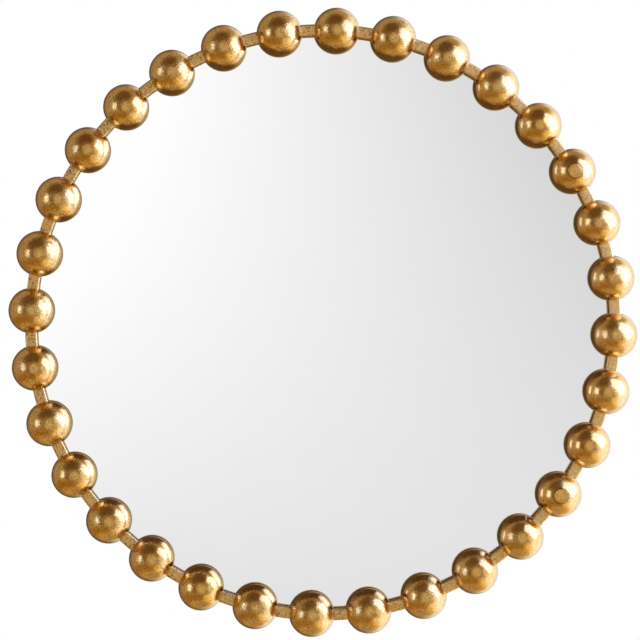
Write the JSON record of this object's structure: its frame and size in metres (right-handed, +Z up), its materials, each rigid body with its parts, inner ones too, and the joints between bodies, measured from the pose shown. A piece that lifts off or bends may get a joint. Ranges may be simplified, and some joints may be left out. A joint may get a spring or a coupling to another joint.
{
  "type": "round wall mirror",
  "caption": "Round wall mirror framed by a ring of gilded balls threaded on a square bar, backed by a board with hinged hanger rings.",
  "frame": {"origin": "middle of the mirror on the wall plane, which the rubber bumpers touch", "axes": "+Z up, +Y into the wall, the mirror faces -Y"},
  "size_m": [0.864, 0.0632, 0.864],
  "materials": {
    "gilded_ball": "glossy antiqued gold leaf over pressed steel",
    "gilded_bar": "satin crackled gold leaf over steel tube",
    "mirror": "silvered flat glass",
    "foam": "matt black foam tape",
    "board": "medium density fibreboard, unpainted",
    "clip_steel": "zinc plated sheet steel",
    "screw_steel": "bright zinc plated",
    "hanger_steel": "nickel plated",
    "bumper_rubber": "matt black rubber"
  },
  "bodies": {
    "mirror": {"ball_01": "gilded_ball", "ball_02": "gilded_ball", "ball_03": "gilded_ball", "ball_04": "gilded_ball", "ball_05": "gilded_ball", "ball_06": "gilded_ball", "ball_07": "gilded_ball", "ball_08": "gilded_ball", "ball_09": "gilded_ball", "ball_10": "gilded_ball", "ball_11": "gilded_ball", "ball_12": "gilded_ball", "ball_13": "gilded_ball", "ball_14": "gilded_ball", "ball_15": "gilded_ball", "ball_16": "gilded_ball", "ball_17": "gilded_ball", "ball_18": "gilded_ball", "ball_19": "gilded_ball", "ball_20": "gilded_ball", "ball_21": "gilded_ball", "ball_22": "gilded_ball", "ball_23": "gilded_ball", "ball_24": "gilded_ball", "ball_25": "gilded_ball", "ball_26": "gilded_ball", "ball_27": "gilded_ball", "ball_28": "gilded_ball", "ball_29": "gilded_ball", "ball_30": "gilded_ball", "ball_31": "gilded_ball", "ball_32": "gilded_ball", "ball_plugs": "gilded_ball", "ring_bar": "gilded_bar", "glazing_tape": "foam", "mirror_pads": "foam", "mirror_glass": "mirror", "backing_board": "board", "clip_1": "clip_steel", "clip_2": "clip_steel", "clip_3": "clip_steel", "clip_4": "clip_steel", "clip_5": "clip_steel", "clip_6": "clip_steel", "clip_7": "clip_steel", "clip_8": "clip_steel", "clip_screws": "screw_steel", "strap_screws": "screw_steel", "hanger_strap_left": "hanger_steel", "hanger_strap_right": "hanger_steel", "bumper_1": "bumper_rubber", "bumper_2": "bumper_rubber", "bumper_3": "bumper_rubber", "bumper_4": "bumper_rubber"},
    "hanger_ring_left": {"hanger_ring_left": "hanger_steel"},
    "hanger_ring_right": {"hanger_ring_right": "hanger_steel"}
  },
  "joints": [
    {"name": "hanger_left_swing", "type": "hinge", "parent": "mirror", "child": "hanger_ring_left", "pos_m": [-0.2, -0.0047, 0.19], "axis": [1, 0, 0], "range_deg": [0, 180]},
    {"name": "hanger_right_swing", "type": "hinge", "parent": "mirror", "child": "hanger_ring_right", "pos_m": [0.2, -0.0047, 0.19], "axis": [1, 0, 0], "range_deg": [0, 180]}
  ]
}
